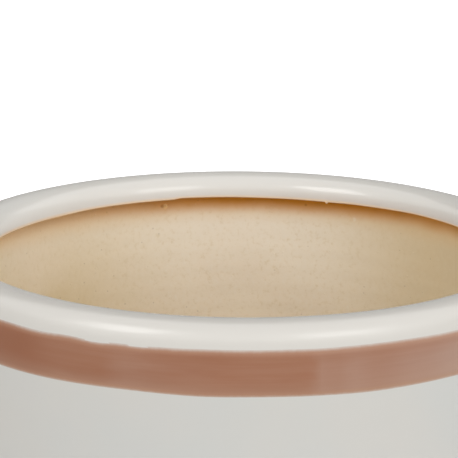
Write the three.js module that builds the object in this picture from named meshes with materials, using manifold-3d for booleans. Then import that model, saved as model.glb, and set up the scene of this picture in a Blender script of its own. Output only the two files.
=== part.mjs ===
// Round plant pot: a fired clay shell with a lip rolled inwards, a white glaze coat with a painted band,
// a rubber plug in the drain hole, a loose drain screen over the hole, and pads under the foot ring.
// Millimetres, +Z up. The origin is on the pot's axis, on the surface that the pot stands on.
import * as THREE from 'three';
import { mergeVertices } from 'three/addons/utils/BufferGeometryUtils.js';
import Module from 'manifold-3d';

const wasm = await Module();
wasm.setup();

// Overall form, measured on the glazed surface
const potHeight = 165; // standing surface to the crest of the lip
const wallRadius = 97; // outside of the upright wall
const bellyRadius = 90; // round of the lower wall, seen in profile

// Clay
const wallThickness = 10;
const lipRadius = 8.8; // round of the glazed lip, from the wall over the crest to the inside
const lipDrop = 7.2; // crest of the lip to its glazed lower edge
const lipEdge = 0.3; // round along the lower edge
const lipFillet = 3.5; // hollow round between the underside of the lip and the wall
const lipFilletMost = 0.9; // share of the lip's underside that the hollow round may take up
const floorThickness = 9;
const floorFillet = 12; // round between the inside floor and the wall
const drainRadius = 11;
const drainChamfer = 0.8;
const footRadius = 62; // outside of the foot ring
const footHeight = 6.5; // depth of the recess that the foot ring stands round
const footEdge = 1.2;
const recessFillet = 3;

// Glaze coat
const glazeThickness = 0.8;
const coatGap = 0.2; // clearance between the coat and the clay
const bareFoot = 5; // height of clay left bare above the foot ring
const coatReturn = 1.6; // how far the coat runs out under the lip

// Painted band, let into the coat and flush with it
const bandDrop = 6.4; // crest of the lip to the band's upper edge
const bandHeight = 12;
const bandThickness = 0.35;
const bandGap = 0.15; // clearance round the band in its channel

// Pads under the foot ring
const padCount = 4;
const padRadius = 4.5;
const padThickness = 2;
const padEdge = 0.6;
const padMargin = 1.2; // width of foot ring left on each side of a pad

// Drain plug, pushed in from below
const plugClearance = 0.3; // between the plug's ribs and the hole
const plugSeatGap = 0.3; // between the plug's flange and the clay
const plugFlangeWidth = 6; // how far the flange reaches beyond the hole
const plugFlangeThickness = 2.5;
const plugFlangeEdge = 0.8;
const plugTopDrop = 1; // top of the plug below the inside floor
const plugRibCount = 3;
const plugRibDepth = 0.8;
const tabLength = 15;
const tabThickness = 3.2;
const tabClearance = 2.4; // between the tab and the surface that the pot stands on
const tabRound = 1.6;

// Drain screen, lying on the inside floor
const screenMargin = 13; // how far the screen reaches beyond the hole
const screenThickness = 1.2;
const screenGap = 0.3; // between the screen and the floor
const screenRim = 2.4; // plain edge round the mesh
const screenPitch = 4.5;
const screenBar = 1.5;

// Fineness of the facets
const potSegments = 56;
const smallSegments = 36;
const padSegments = 24;
const bellySteps = 6;
const lipSteps = 5; // in each quarter of the lip's round
const edgeSteps = 3;
const filletSteps = 3;

// Sizes worked out from those above
const coat = glazeThickness + coatGap; // the clay lies this far inside the glazed surface
const innerRadius = wallRadius - coat - wallThickness;
const footBottom = padThickness;
const footWidth = 2 * (padRadius + padMargin);
const footInner = footRadius - footWidth;
const recessTop = footBottom + footHeight;
const floorTop = recessTop + floorThickness;
const screenRadius = drainRadius + screenMargin;

const crestAngle = 90;
const lipCentre = new THREE.Vector2(wallRadius - lipRadius, potHeight - lipRadius);
const lipUnder = potHeight - lipDrop; // underside of the glazed lip

const bellyAxis = wallRadius - bellyRadius;
const clayBelly = bellyRadius - coat;
const footAngle = THREE.MathUtils.radToDeg(Math.acos((footRadius - bellyAxis) / clayBelly));
const bellyHeight = recessTop + clayBelly * Math.sin(THREE.MathUtils.degToRad(footAngle));
const bellyCentre = new THREE.Vector2(bellyAxis, bellyHeight);
const coatSine = (bellyHeight - recessTop - bareFoot) / bellyRadius;
const coatAngle = THREE.MathUtils.radToDeg(Math.asin(coatSine));

const bandTop = potHeight - bandDrop;
const bandBottom = bandTop - bandHeight;

// Points on an arc, angles in degrees from the outward direction, turning upwards
function arc(centre, radius, from, to, steps) {
  const points = [];
  for (let step = 0; step <= steps; step += 1) {
    const angle = THREE.MathUtils.degToRad(from + ((to - from) * step) / steps);
    points.push(new THREE.Vector2(centre.x + radius * Math.cos(angle), centre.y + radius * Math.sin(angle)));
  }
  return points;
}

// The outside of the pot at an inset below the glazed surface, as three stretches that meet
function belly(inset) {
  return arc(bellyCentre, bellyRadius - inset, -coatAngle, 0, bellySteps);
}

function sideAt(height, inset) {
  if (height <= lipCentre.y) {
    return new THREE.Vector2(wallRadius - inset, height);
  }
  const sine = Math.min(1, (height - lipCentre.y) / lipRadius);
  const cosine = Math.sqrt(1 - sine * sine);
  return new THREE.Vector2(
    lipCentre.x + (lipRadius - inset) * cosine,
    lipCentre.y + (lipRadius - inset) * sine,
  );
}

function side(inset, low, high) {
  const heights = [low];
  for (let step = 0; step < lipSteps; step += 1) {
    const angle = THREE.MathUtils.degToRad((crestAngle * step) / lipSteps);
    const height = lipCentre.y + lipRadius * Math.sin(angle);
    if (height > low && height < high) {
      heights.push(height);
    }
  }
  heights.push(high);
  return heights.map((height) => sideAt(height, inset));
}

// Centre of the small round where the lip's round meets its level underside
function edgeCentre(inset) {
  const height = lipUnder + inset + lipEdge;
  const reach = lipRadius - inset - lipEdge;
  const rise = height - lipCentre.y;
  return new THREE.Vector2(lipCentre.x - Math.sqrt(reach * reach - rise * rise), height);
}

function lip(inset) {
  const centre = edgeCentre(inset);
  const lipEnd = THREE.MathUtils.radToDeg(Math.atan2(centre.y - lipCentre.y, centre.x - lipCentre.x));
  return [
    ...arc(lipCentre, lipRadius - inset, crestAngle, lipEnd, lipSteps),
    ...arc(centre, lipEdge, lipEnd, 270, edgeSteps),
  ];
}

// Solid of revolution about +Z from a closed profile of (radius, height) points, going round anticlockwise
function revolve(profile, segments) {
  const loop = [...profile, profile[0]].filter(
    (point, index, all) => index === 0 || point.distanceTo(all[index - 1]) > 1e-6,
  );
  return new THREE.LatheGeometry(loop, segments).rotateX(Math.PI / 2);
}

// Solid of revolution from an open profile that starts and ends on the axis
function turn(profile, segments) {
  return new THREE.LatheGeometry(profile, segments).rotateX(Math.PI / 2);
}

function toManifold(geometry) {
  const bare = geometry.clone();
  bare.deleteAttribute('normal');
  bare.deleteAttribute('uv');
  const merged = mergeVertices(bare, 1e-4);
  const vertProperties = new Float32Array(merged.attributes.position.array);
  const triVerts = new Uint32Array(merged.index.array);
  return new wasm.Manifold(new wasm.Mesh({ numProp: 3, vertProperties, triVerts }));
}

function toGeometry(manifold) {
  const mesh = manifold.getMesh();
  const geometry = new THREE.BufferGeometry();
  geometry.setAttribute('position', new THREE.BufferAttribute(mesh.vertProperties, 3));
  geometry.setIndex(new THREE.BufferAttribute(mesh.triVerts, 1));
  return geometry;
}

// Clay shell: foot ring, belly, upright wall, lip, inside, floor and drain hole in one profile
function clayBody() {
  const underFillet = Math.min(lipFillet, lipFilletMost * (innerRadius - edgeCentre(coat).x));
  const innerBelly = clayBelly - wallThickness;
  const filletHeight = floorTop + floorFillet;
  const filletReach = innerBelly - floorFillet;
  const filletSine = (bellyHeight - filletHeight) / filletReach;
  const filletAngle = -THREE.MathUtils.radToDeg(Math.asin(filletSine));
  const filletCentre = new THREE.Vector2(
    bellyAxis + filletReach * Math.sqrt(1 - filletSine * filletSine),
    filletHeight,
  );
  const recessCentre = new THREE.Vector2(footInner - recessFillet, recessTop - recessFillet);
  const footInnerEdge = new THREE.Vector2(footInner + footEdge, footBottom + footEdge);
  const footOuterEdge = new THREE.Vector2(footRadius - footEdge, footBottom + footEdge);
  const underCentre = new THREE.Vector2(innerRadius - underFillet, lipUnder + coat - underFillet);
  return revolve([
    new THREE.Vector2(drainRadius, recessTop + drainChamfer),
    new THREE.Vector2(drainRadius + drainChamfer, recessTop),
    ...arc(recessCentre, recessFillet, 90, 0, filletSteps),
    ...arc(footInnerEdge, footEdge, 180, 270, edgeSteps),
    ...arc(footOuterEdge, footEdge, 270, 360, edgeSteps),
    ...arc(bellyCentre, clayBelly, -footAngle, -coatAngle, 1),
    ...belly(coat),
    ...side(coat, bellyHeight, potHeight),
    ...lip(coat),
    ...arc(underCentre, underFillet, 90, 0, filletSteps),
    ...arc(bellyCentre, innerBelly, 0, filletAngle, bellySteps),
    ...arc(filletCentre, floorFillet, filletAngle, -90, filletSteps),
    new THREE.Vector2(drainRadius + drainChamfer, floorTop),
    new THREE.Vector2(drainRadius, floorTop - drainChamfer),
  ], potSegments);
}

// Glaze: a shell of even thickness over the outside and the lip, with the band's channel in it
function glazeCoat() {
  const channelDepth = bandThickness + bandGap;
  const channelLow = bandBottom - bandGap;
  const channelHigh = bandTop + bandGap;
  const lipStop = new THREE.Vector2(edgeCentre(0).x + coatReturn, lipUnder);
  const lipStopInner = new THREE.Vector2(lipStop.x, lipStop.y + glazeThickness);
  const face = [
    ...belly(0),
    ...side(0, bellyHeight, channelLow),
    ...side(channelDepth, channelLow, channelHigh),
    ...side(0, channelHigh, potHeight),
    ...lip(0),
    lipStop,
  ];
  const back = [
    ...belly(glazeThickness),
    ...side(glazeThickness, bellyHeight, potHeight),
    ...lip(glazeThickness),
    lipStopInner,
  ];
  return revolve([...face, ...back.reverse()], potSegments);
}

function paintedBand() {
  const face = side(0, bandBottom, bandTop);
  const back = side(bandThickness, bandBottom, bandTop);
  return revolve([...face, ...back.reverse()], potSegments);
}

// Ribbed rubber bung with a flange that seats under the floor and a tab to pull it by
function drainPlug() {
  const ribRadius = drainRadius - plugClearance;
  const stemRadius = ribRadius - plugRibDepth;
  const flangeRadius = drainRadius + plugFlangeWidth;
  const flangeTop = recessTop - plugSeatGap;
  const flangeBottom = flangeTop - plugFlangeThickness;
  const plugTop = floorTop - plugTopDrop;
  const ribPitch = (plugTop - recessTop) / plugRibCount;
  const ribs = [];
  for (let rib = 0; rib < plugRibCount; rib += 1) {
    const start = recessTop + rib * ribPitch;
    ribs.push(new THREE.Vector2(stemRadius, start));
    ribs.push(new THREE.Vector2(ribRadius, start + ribPitch / 3));
    ribs.push(new THREE.Vector2(ribRadius, start + ribPitch / 2));
  }
  const bung = turn([
    new THREE.Vector2(0, flangeBottom),
    new THREE.Vector2(flangeRadius - plugFlangeEdge, flangeBottom),
    new THREE.Vector2(flangeRadius, flangeBottom + plugFlangeEdge),
    new THREE.Vector2(flangeRadius, flangeTop),
    new THREE.Vector2(stemRadius, flangeTop),
    ...ribs,
    new THREE.Vector2(stemRadius, plugTop),
    new THREE.Vector2(0, plugTop),
  ], smallSegments);

  const tabReach = tabLength / 2;
  const tabRoot = (flangeTop + flangeBottom) / 2;
  const outline = new THREE.Shape();
  outline.moveTo(-tabReach, tabRoot);
  outline.lineTo(-tabReach, tabClearance + tabRound);
  outline.absarc(-tabReach + tabRound, tabClearance + tabRound, tabRound, Math.PI, 1.5 * Math.PI);
  outline.absarc(tabReach - tabRound, tabClearance + tabRound, tabRound, 1.5 * Math.PI, 2 * Math.PI);
  outline.lineTo(tabReach, tabRoot);
  const tab = new THREE.ExtrudeGeometry(outline, {
    depth: tabThickness,
    bevelEnabled: false,
    curveSegments: filletSteps,
  });
  tab.rotateX(Math.PI / 2);
  tab.translate(0, tabThickness / 2, 0);
  return toGeometry(toManifold(bung).add(toManifold(tab)));
}

// Flat moulded disc with square openings wherever a whole one fits inside the plain edge
function drainScreen() {
  const opening = screenPitch - screenBar;
  const reach = Math.floor(screenRadius / screenPitch);
  const centre = floorTop + screenGap + screenThickness / 2;
  const disc = new THREE.CylinderGeometry(screenRadius, screenRadius, screenThickness, smallSegments);
  let mesh = toManifold(disc.rotateX(Math.PI / 2));
  for (let column = -reach; column <= reach; column += 1) {
    for (let row = -reach; row <= reach; row += 1) {
      const x = column * screenPitch;
      const y = row * screenPitch;
      const corner = Math.hypot(Math.abs(x) + opening / 2, Math.abs(y) + opening / 2);
      if (corner < screenRadius - screenRim) {
        const cut = new THREE.BoxGeometry(opening, opening, 2 * screenThickness).translate(x, y, 0);
        mesh = mesh.subtract(toManifold(cut));
      }
    }
  }
  return toGeometry(mesh).translate(0, 0, centre);
}

function footPad() {
  return turn([
    new THREE.Vector2(0, 0),
    new THREE.Vector2(padRadius - padEdge, 0),
    new THREE.Vector2(padRadius, padEdge),
    new THREE.Vector2(padRadius, padThickness),
    new THREE.Vector2(0, padThickness),
  ], padSegments);
}

function piece(name, geometry, color, roughness) {
  const material = new THREE.MeshStandardMaterial({ color, roughness, metalness: 0 });
  const mesh = new THREE.Mesh(geometry, material);
  mesh.name = name;
  return mesh;
}

const clayColor = 0xd2bc9e;
const glazeColor = 0xe2ded7;
const bandColor = 0xa3765f;
const rubberColor = 0x3a3a3c;
const screenColor = 0x2b2c2a;

const pot = new THREE.Group();
pot.add(piece('clay_body', clayBody(), clayColor, 0.9));
pot.add(piece('glaze_coat', glazeCoat(), glazeColor, 0.12));
pot.add(piece('painted_band', paintedBand(), bandColor, 0.25));
pot.add(piece('drain_plug', drainPlug(), rubberColor, 0.7));
pot.add(piece('drain_screen', drainScreen(), screenColor, 0.55));
for (let index = 0; index < padCount; index += 1) {
  const pad = piece(`foot_pad_${index + 1}`, footPad(), rubberColor, 0.75);
  const angle = (2 * Math.PI * (index + 0.5)) / padCount;
  const ringMiddle = footRadius - footWidth / 2;
  pad.position.set(ringMiddle * Math.cos(angle), ringMiddle * Math.sin(angle), 0);
  pot.add(pad);
}

export default pot;
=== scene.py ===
import math

import bmesh
import bpy
from mathutils import Matrix, Vector, noise


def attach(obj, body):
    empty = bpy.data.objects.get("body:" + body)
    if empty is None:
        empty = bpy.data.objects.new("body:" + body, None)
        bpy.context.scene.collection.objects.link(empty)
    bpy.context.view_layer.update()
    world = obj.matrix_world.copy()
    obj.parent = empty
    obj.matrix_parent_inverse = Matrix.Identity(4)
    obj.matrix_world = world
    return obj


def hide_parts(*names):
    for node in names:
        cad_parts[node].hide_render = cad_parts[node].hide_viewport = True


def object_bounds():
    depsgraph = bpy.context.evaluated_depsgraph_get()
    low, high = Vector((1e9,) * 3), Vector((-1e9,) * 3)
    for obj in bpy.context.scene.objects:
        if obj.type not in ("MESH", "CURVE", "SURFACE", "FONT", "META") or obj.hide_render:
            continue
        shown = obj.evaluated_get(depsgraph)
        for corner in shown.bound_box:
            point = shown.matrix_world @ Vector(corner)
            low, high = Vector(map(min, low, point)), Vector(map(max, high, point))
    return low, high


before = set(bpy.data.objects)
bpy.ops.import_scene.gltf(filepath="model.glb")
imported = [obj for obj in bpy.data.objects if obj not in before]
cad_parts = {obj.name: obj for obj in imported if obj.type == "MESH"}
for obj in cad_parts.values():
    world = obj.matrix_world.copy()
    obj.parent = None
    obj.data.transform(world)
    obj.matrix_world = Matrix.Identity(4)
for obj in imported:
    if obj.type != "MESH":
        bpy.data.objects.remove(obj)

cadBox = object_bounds()
print("frame loaded, nodes:", len(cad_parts))

# the turned form, measured on the glazed surface, in metres and degrees
potForm = {
    "height": cadBox[1].z,
    "wallRadius": cadBox[1].x,
    "bellyRadius": 0.090,
    "coat": 0.001,  # clay lies this far under the glaze
    "wall": 0.010,
    "lipRadius": 0.0088,
    "lipDrop": 0.0072,  # crest of the lip to its glazed lower edge
    "lipEdge": 0.0003,
    "footBottom": 0.002,
    "footRadius": 0.062,
    "footWidth": 0.0114,
    "recessTop": 0.0085,
    "floorTop": 0.0175,
    "drainRadius": 0.011,
    "bandTop": 0.1586,
    "bandBottom": 0.1466,
    "roundSteps": 256,
    "smooth": 40,  # edges sharper than this stay sharp
}

lipRadius = potForm["lipRadius"]
lipCentre = (potForm["wallRadius"] - lipRadius, potForm["height"] - lipRadius)
lipUnder = potForm["height"] - potForm["lipDrop"]  # underside of the glazed lip
innerRadius = potForm["wallRadius"] - potForm["coat"] - potForm["wall"]
bellyAxis = potForm["wallRadius"] - potForm["bellyRadius"]
clayBelly = potForm["bellyRadius"] - potForm["coat"]
footAngle = math.degrees(math.acos((potForm["footRadius"] - bellyAxis) / clayBelly))
bellyHeight = potForm["recessTop"] + clayBelly * math.sin(math.radians(footAngle))
bellyCentre = (bellyAxis, bellyHeight)


# profile helpers, points are (radius, height)
def arcPoints(centre, radius, start, end, steps):
    points = []
    for step in range(steps + 1):
        angle = math.radians(start + (end - start) * step / steps)
        points.append((centre[0] + radius * math.cos(angle), centre[1] + radius * math.sin(angle)))
    return points


def linePoints(start, end, steps):  # leaves the end point out
    points = []
    for step in range(steps):
        share = step / steps
        points.append((start[0] + (end[0] - start[0]) * share, start[1] + (end[1] - start[1]) * share))
    return points


def sideAt(height, inset):  # a point on the upright side or the outer half of the lip
    if height <= lipCentre[1]:
        return (potForm["wallRadius"] - inset, height)
    sine = min(1.0, (height - lipCentre[1]) / lipRadius)
    reach = lipRadius - inset
    return (lipCentre[0] + reach * math.sqrt(1 - sine * sine), lipCentre[1] + reach * sine)


def sidePath(inset, low, high, steps):
    return [sideAt(low + (high - low) * step / steps, inset) for step in range(steps + 1)]


def edgeCentre(inset):  # of the small round along the lip's lower edge
    height = lipUnder + inset + potForm["lipEdge"]
    reach = lipRadius - inset - potForm["lipEdge"]
    return (lipCentre[0] - math.sqrt(reach**2 - (height - lipCentre[1]) ** 2), height)


def lipPath(inset, startAngle, lipSteps, edgeSteps):
    centre = edgeCentre(inset)
    lipEnd = math.degrees(math.atan2(centre[1] - lipCentre[1], centre[0] - lipCentre[0]))
    path = arcPoints(lipCentre, lipRadius - inset, startAngle, lipEnd, lipSteps)
    return path + arcPoints(centre, potForm["lipEdge"], lipEnd, 270, edgeSteps)[1:]


def angleAt(height):  # degrees on the lip's round
    return math.degrees(math.asin((height - lipCentre[1]) / lipRadius))


# modelling helpers
modelling = {
    "weld": 2e-6,  # points closer than this are merged
    "touch": 1e-6,  # heights this close are the same
    "lumpGrain": 1400,  # unevenness of the small lumps, and how far it pushes them
    "lumpRough": 0.35,
    "wanderGain": 1.6,  # brings the noise to about -1 to 1
    "facingDown": -0.9,
}


def startPiece(name):  # one loose vertex at the origin, in edit mode
    bpy.ops.object.select_all(action="DESELECT")
    bpy.ops.mesh.primitive_plane_add(size=0.01)
    piece = bpy.context.object
    piece.name = name
    piece.data.name = name
    bpy.ops.object.mode_set(mode="EDIT")
    bpy.ops.mesh.merge(type="CENTER")
    return piece


def drawProfile(points, closed):  # extrude the vertex from point to point
    bpy.ops.transform.translate(value=(points[0][0], 0, points[0][1]))
    for start, end in zip(points, points[1:]):
        step = (end[0] - start[0], 0, end[1] - start[1])
        bpy.ops.mesh.extrude_region_move(TRANSFORM_OT_translate={"value": step})
    if closed:
        shape = bmesh.from_edit_mesh(bpy.context.object.data)
        shape.verts.ensure_lookup_table()
        bpy.ops.mesh.select_all(action="DESELECT")
        shape.verts[0].select = True
        shape.verts[-1].select = True
        bmesh.update_edit_mesh(bpy.context.object.data)
        bpy.ops.mesh.edge_face_add()


def spinRound(steps):
    bpy.ops.mesh.select_all(action="SELECT")
    bpy.ops.mesh.spin(steps=steps, angle=2 * math.pi, center=(0, 0, 0), axis=(0, 0, 1))
    closeShape()


def closeShape():  # seams merged, faces turned outwards, back to object mode
    bpy.ops.mesh.select_all(action="SELECT")
    bpy.ops.mesh.remove_doubles(threshold=modelling["weld"])
    bpy.ops.mesh.normals_make_consistent(inside=False)
    bpy.ops.object.mode_set(mode="OBJECT")


def pickParts(piece, kind, test):  # in edit mode, selects what passes the test
    bpy.ops.mesh.select_mode(type=kind)
    shape = bmesh.from_edit_mesh(piece.data)
    for part in {"VERT": shape.verts, "EDGE": shape.edges, "FACE": shape.faces}[kind]:
        part.select_set(test(part))
    bmesh.update_edit_mesh(piece.data)


def selectOnly(piece):
    bpy.ops.object.select_all(action="DESELECT")
    piece.select_set(True)
    bpy.context.view_layer.objects.active = piece


def smoothBy(piece, degrees):
    selectOnly(piece)
    bpy.ops.object.shade_smooth_by_angle(angle=math.radians(degrees))


def addBoolean(piece, operation, other):
    boolean = piece.modifiers.new("boolean", "BOOLEAN")
    boolean.operation = operation
    boolean.object = other


def addBevel(piece, width, segments, degrees):
    bevel = piece.modifiers.new("softEdge", "BEVEL")
    bevel.width = width
    bevel.segments = segments
    bevel.limit_method = "ANGLE"
    bevel.angle_limit = math.radians(degrees)


def applyAll(piece):
    selectOnly(piece)
    for modifier in list(piece.modifiers):
        bpy.ops.object.modifier_apply(modifier=modifier.name)


# small rough lumps joined to a piece, each (radius, turn from the back, height, sizes)
def fuseLumps(piece, lumps):
    made = []
    for radius, turn, height, sizes in lumps:
        angle = math.radians(turn)
        place = (radius * math.sin(angle), radius * math.cos(angle), height)
        bpy.ops.object.select_all(action="DESELECT")
        bpy.ops.mesh.primitive_ico_sphere_add(
            subdivisions=3, radius=1, location=place, rotation=(0, 0, -angle))
        lump = bpy.context.object
        lump.scale = sizes
        bpy.ops.object.transform_apply(location=True, rotation=True, scale=True)
        for vertex in lump.data.vertices:
            rough = noise.noise(vertex.co * modelling["lumpGrain"])
            vertex.co += (vertex.co - Vector(place)) * modelling["lumpRough"] * rough
        made.append(lump)
    for lump in made:
        addBoolean(piece, "UNION", lump)
    applyAll(piece)
    for lump in made:
        bpy.data.objects.remove(lump)


def turnOf(place):  # degrees round the pot from its front, towards the right
    return math.degrees(math.atan2(place.x, -place.y))


def bumpsAt(turn, marks):  # marks are (turn, spread, height)
    total = 0.0
    for at, spread, height in marks:
        gap = (turn - at + 180) % 360 - 180
        total += height * math.exp(-((gap / spread) ** 2))
    return total


def wanderAt(turn, ripples, seed):  # smooth and seamless round the pot
    angle = math.radians(turn)
    place = Vector((ripples * math.cos(angle), ripples * math.sin(angle), seed))
    return modelling["wanderGain"] * noise.noise(place)


def runAt(turn, points):  # eased from point to point, points are (turn, value)
    for (start, first), (end, last) in zip(points, points[1:]):
        if turn <= end:
            return first + (last - first) * easeBetween(start, end, turn)
    return points[-1][1]


def easeBetween(low, high, value):
    share = max(0.0, min(1.0, (value - low) / (high - low)))
    return share * share * (3 - 2 * share)


# material helpers
dotCore = 0.4  # share of a speck's size that has its full colour
spotCore = 0.45


def newMaterial(name):
    material = bpy.data.materials.new(name)
    material.use_nodes = True
    return material, material.node_tree, material.node_tree.nodes["Principled BSDF"]


def addNode(tree, kind, **settings):
    node = tree.nodes.new(kind)
    for key, value in settings.items():
        if key in node.inputs:
            node.inputs[key].default_value = value
        else:
            setattr(node, key, value)
    return node


def objectPlace(tree, scale=(1, 1, 1)):  # object coordinates, stretched
    place = addNode(tree, "ShaderNodeTexCoord")
    mapping = addNode(tree, "ShaderNodeMapping", Scale=scale)
    tree.links.new(place.outputs["Object"], mapping.inputs["Vector"])
    return mapping.outputs["Vector"]


def splitPlace(tree):
    place = addNode(tree, "ShaderNodeTexCoord")
    split = addNode(tree, "ShaderNodeSeparateXYZ")
    tree.links.new(place.outputs["Object"], split.inputs["Vector"])
    return split.outputs


def fromAxis(tree):  # distance from the pot's axis
    node = addNode(tree, "ShaderNodeVectorMath", operation="LENGTH")
    tree.links.new(objectPlace(tree, (1, 1, 0)), node.inputs[0])
    return node.outputs["Value"]


def attributeOf(tree, name):
    return addNode(tree, "ShaderNodeAttribute", attribute_name=name).outputs["Fac"]


def noiseAt(tree, place, scale, detail=3.0, rough=0.5):
    node = addNode(tree, "ShaderNodeTexNoise", Scale=scale, Detail=detail, Roughness=rough)
    tree.links.new(place, node.inputs["Vector"])
    return node.outputs["Fac"]


def fade(tree, value, low, high, toLow=0.0, toHigh=1.0):  # eased from low to high
    node = addNode(tree, "ShaderNodeMapRange", interpolation_type="SMOOTHSTEP")
    tree.links.new(value, node.inputs["Value"])
    node.inputs["From Min"].default_value = low
    node.inputs["From Max"].default_value = high
    node.inputs["To Min"].default_value = toLow
    node.inputs["To Max"].default_value = toHigh
    return node.outputs["Result"]


def calc(tree, operation, first, second):
    node = addNode(tree, "ShaderNodeMath", operation=operation)
    for socket, value in zip(node.inputs, (first, second)):
        if isinstance(value, (int, float)):
            socket.default_value = value
        else:
            tree.links.new(value, socket)
    return node.outputs["Value"]


def times(tree, first, second):
    return calc(tree, "MULTIPLY", first, second)


def larger(tree, first, second):
    return calc(tree, "MAXIMUM", first, second)


def mixColour(tree, share, first, second):
    node = addNode(tree, "ShaderNodeMix", data_type="RGBA")
    for socket, value in ((node.inputs[0], share), (node.inputs[6], first), (node.inputs[7], second)):
        if isinstance(value, (int, float, tuple)):
            socket.default_value = value
        else:
            tree.links.new(value, socket)
    return node.outputs[2]


def layered(tree, look, ground, layers):  # colours by name, each laid over those before it
    colour = look[ground]
    for share, name in layers:
        colour = mixColour(tree, share, colour, look[name])
    return colour


def raggedAt(tree, place, scale, depth):  # unevenness about 0
    return times(tree, calc(tree, "SUBTRACT", noiseAt(tree, place, scale), 0.5), depth)


def specksAt(tree, place, scale, size, share):  # dots on a share of the cells, 1 inside a dot
    cells = addNode(tree, "ShaderNodeTexVoronoi", Scale=scale)
    tree.links.new(place, cells.inputs["Vector"])
    dot = fade(tree, cells.outputs["Distance"], size, size * dotCore)
    pick = addNode(tree, "ShaderNodeSeparateColor")
    tree.links.new(cells.outputs["Color"], pick.inputs["Color"])
    return times(tree, dot, calc(tree, "LESS_THAN", pick.outputs["Red"], share))


def spotAt(tree, radius, turn, height, size):  # 1 inside one small round spot, turn from the back
    angle = math.radians(turn)
    place = addNode(tree, "ShaderNodeTexCoord")
    away = addNode(tree, "ShaderNodeVectorMath", operation="DISTANCE")
    tree.links.new(place.outputs["Object"], away.inputs[0])
    away.inputs[1].default_value = (radius * math.sin(angle), radius * math.cos(angle), height)
    return fade(tree, away.outputs["Value"], size, size * spotCore)


def bumpInto(tree, shader, height, strength, distance, before=None):
    node = addNode(tree, "ShaderNodeBump", Strength=strength, Distance=distance)
    tree.links.new(height, node.inputs["Height"])
    if before is not None:
        tree.links.new(before, node.inputs["Normal"])
    tree.links.new(node.outputs["Normal"], shader.inputs["Normal"])
    return node.outputs["Normal"]


def srgb(red, green, blue):  # a colour as a picture editor shows it
    def straight(value):
        value /= 255
        return value / 12.92 if value <= 0.04045 else ((value + 0.055) / 1.055) ** 2.4

    return (straight(red), straight(green), straight(blue), 1.0)


# bare clay body
clay = {
    "cream": srgb(247, 237, 219),
    "warm": srgb(239, 224, 201),
    "deepShade": srgb(247, 233, 209),  # painted shade, a little yellower and darker further down inside
    "pale": srgb(247, 240, 227),
    "flashAndShade": srgb(209, 138, 32),  # orange left by the firing beside the glaze; under the lip it is also painted shadow of the lip
    "blushAndShade": srgb(244, 206, 152),  # its soft edge, also painted warm shade under the lip
    "shade": srgb(220, 200, 160),  # painted shade, yellower and darker towards the sides inside; also the colour of the dark grains
    "crumb": srgb(250, 218, 158),
    # dark marks under the lip, one beside the crumb
    "darkMark": srgb(150, 92, 34),
    "darkSpeck": srgb(120, 88, 58),
    "paleSpeck": srgb(238, 226, 206),
    "roughness": 0.88,
    "shine": 0.25,
    "cloud": (22, 4),  # noises: size, detail, roughness
    "grain": (640, 4, 0.6),
    "ragged": (90, 0.0016),  # unevenness of the flash's edge: size, depth
    # fades: where they start and end, and the shares there
    "deepShadeFrom": (0.145, 0.105),
    "leftShade": (-0.008, -0.07),
    "leftRise": (0.152, 0.12, 0.5, 1.0),
    "rightShade": (0.006, 0.04, 0, 0.22),
    "rightRise": (0.12, 0.147, 0.45, 1.0),
    "farRightShade": (0.026, 0.066, 0, 0.62),
    "warmCloud": (0.4, 0.75, 0, 0.7),
    "paleGrain": (0.5, 0.85, 0, 0.4),
    "paleInShade": (0, 0.6, 1.0, 0.3),
    "darkGrain": (0.5, 0.2, 0, 0.45),
    "underLip": (0.1498, 0.1559, 0, 0.96),
    "flashRise": (0.03, 0.07, 0, 0.0005),  # it starts higher towards the right
    "flashLeft": (-0.088, -0.002, 0.2, 1.0),
    "flashRight": (0.035, 0.07, 1.0, 0.82),
    "nearFoot": (0.0075, 0.0125),
    "footReach": (0.054, 0.058, 0, 0.7),
    "footTop": 0.0165,
    "blushAndShadeUnderLip": (0.146, 0.1545, 0, 0.45),
    "blushInside": (0.02, 0.05),
    "darkSpecks": (520, 0.2, 0.07),  # specks: cells to the metre, size, share of the cells
    "paleSpecks": (620, 0.22, 0.06),
    "speckShares": (0.2, 0.12),  # how much the dark and the pale ones show
    "grainBump": (0.25, 0.0002),  # strength, depth
    "speckBump": (0.35, 0.0002),
    # small marks under the lip: colour, turn from the back, height, size, share
    "marks": [("darkMark", -18.7, 0.1541, 0.0008, 0.42), ("crumb", -17.9, 0.154, 0.0011, 0.6),
              ("darkMark", 14.96, 0.1545, 0.0006, 0.35), ("pale", 26.83, 0.15103, 0.0009, 0.35)],
    "lipFillet": 0.0035,
    "floorFillet": 0.012,
    "footEdge": 0.0012,
    "recessFillet": 0.003,
    "drainRound": 0.0008,
    "ringDepth": 0.00005,  # throwing rings inside
    "ringPitch": 0.0065,
    "ringWander": (2, 3.1),  # ripples round the pot, seed
    "ringMargins": (0.004, 0.002),  # above the floor and under the lip
    "trimDepth": 0.00012,  # turning lines in the foot recess
    "trimPitch": 0.0034,
    "trimMargins": (0.002, 0.001),  # beside the drain hole and the foot ring
    # crumbs stuck to the wall under the lip: turn from the back, height, sizes
    "crumbs": [(-17.9, 0.154, (0.001, 0.0006, 0.0006)), (26.83, 0.15103, (0.0007, 0.00018, 0.0006))],
}


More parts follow.
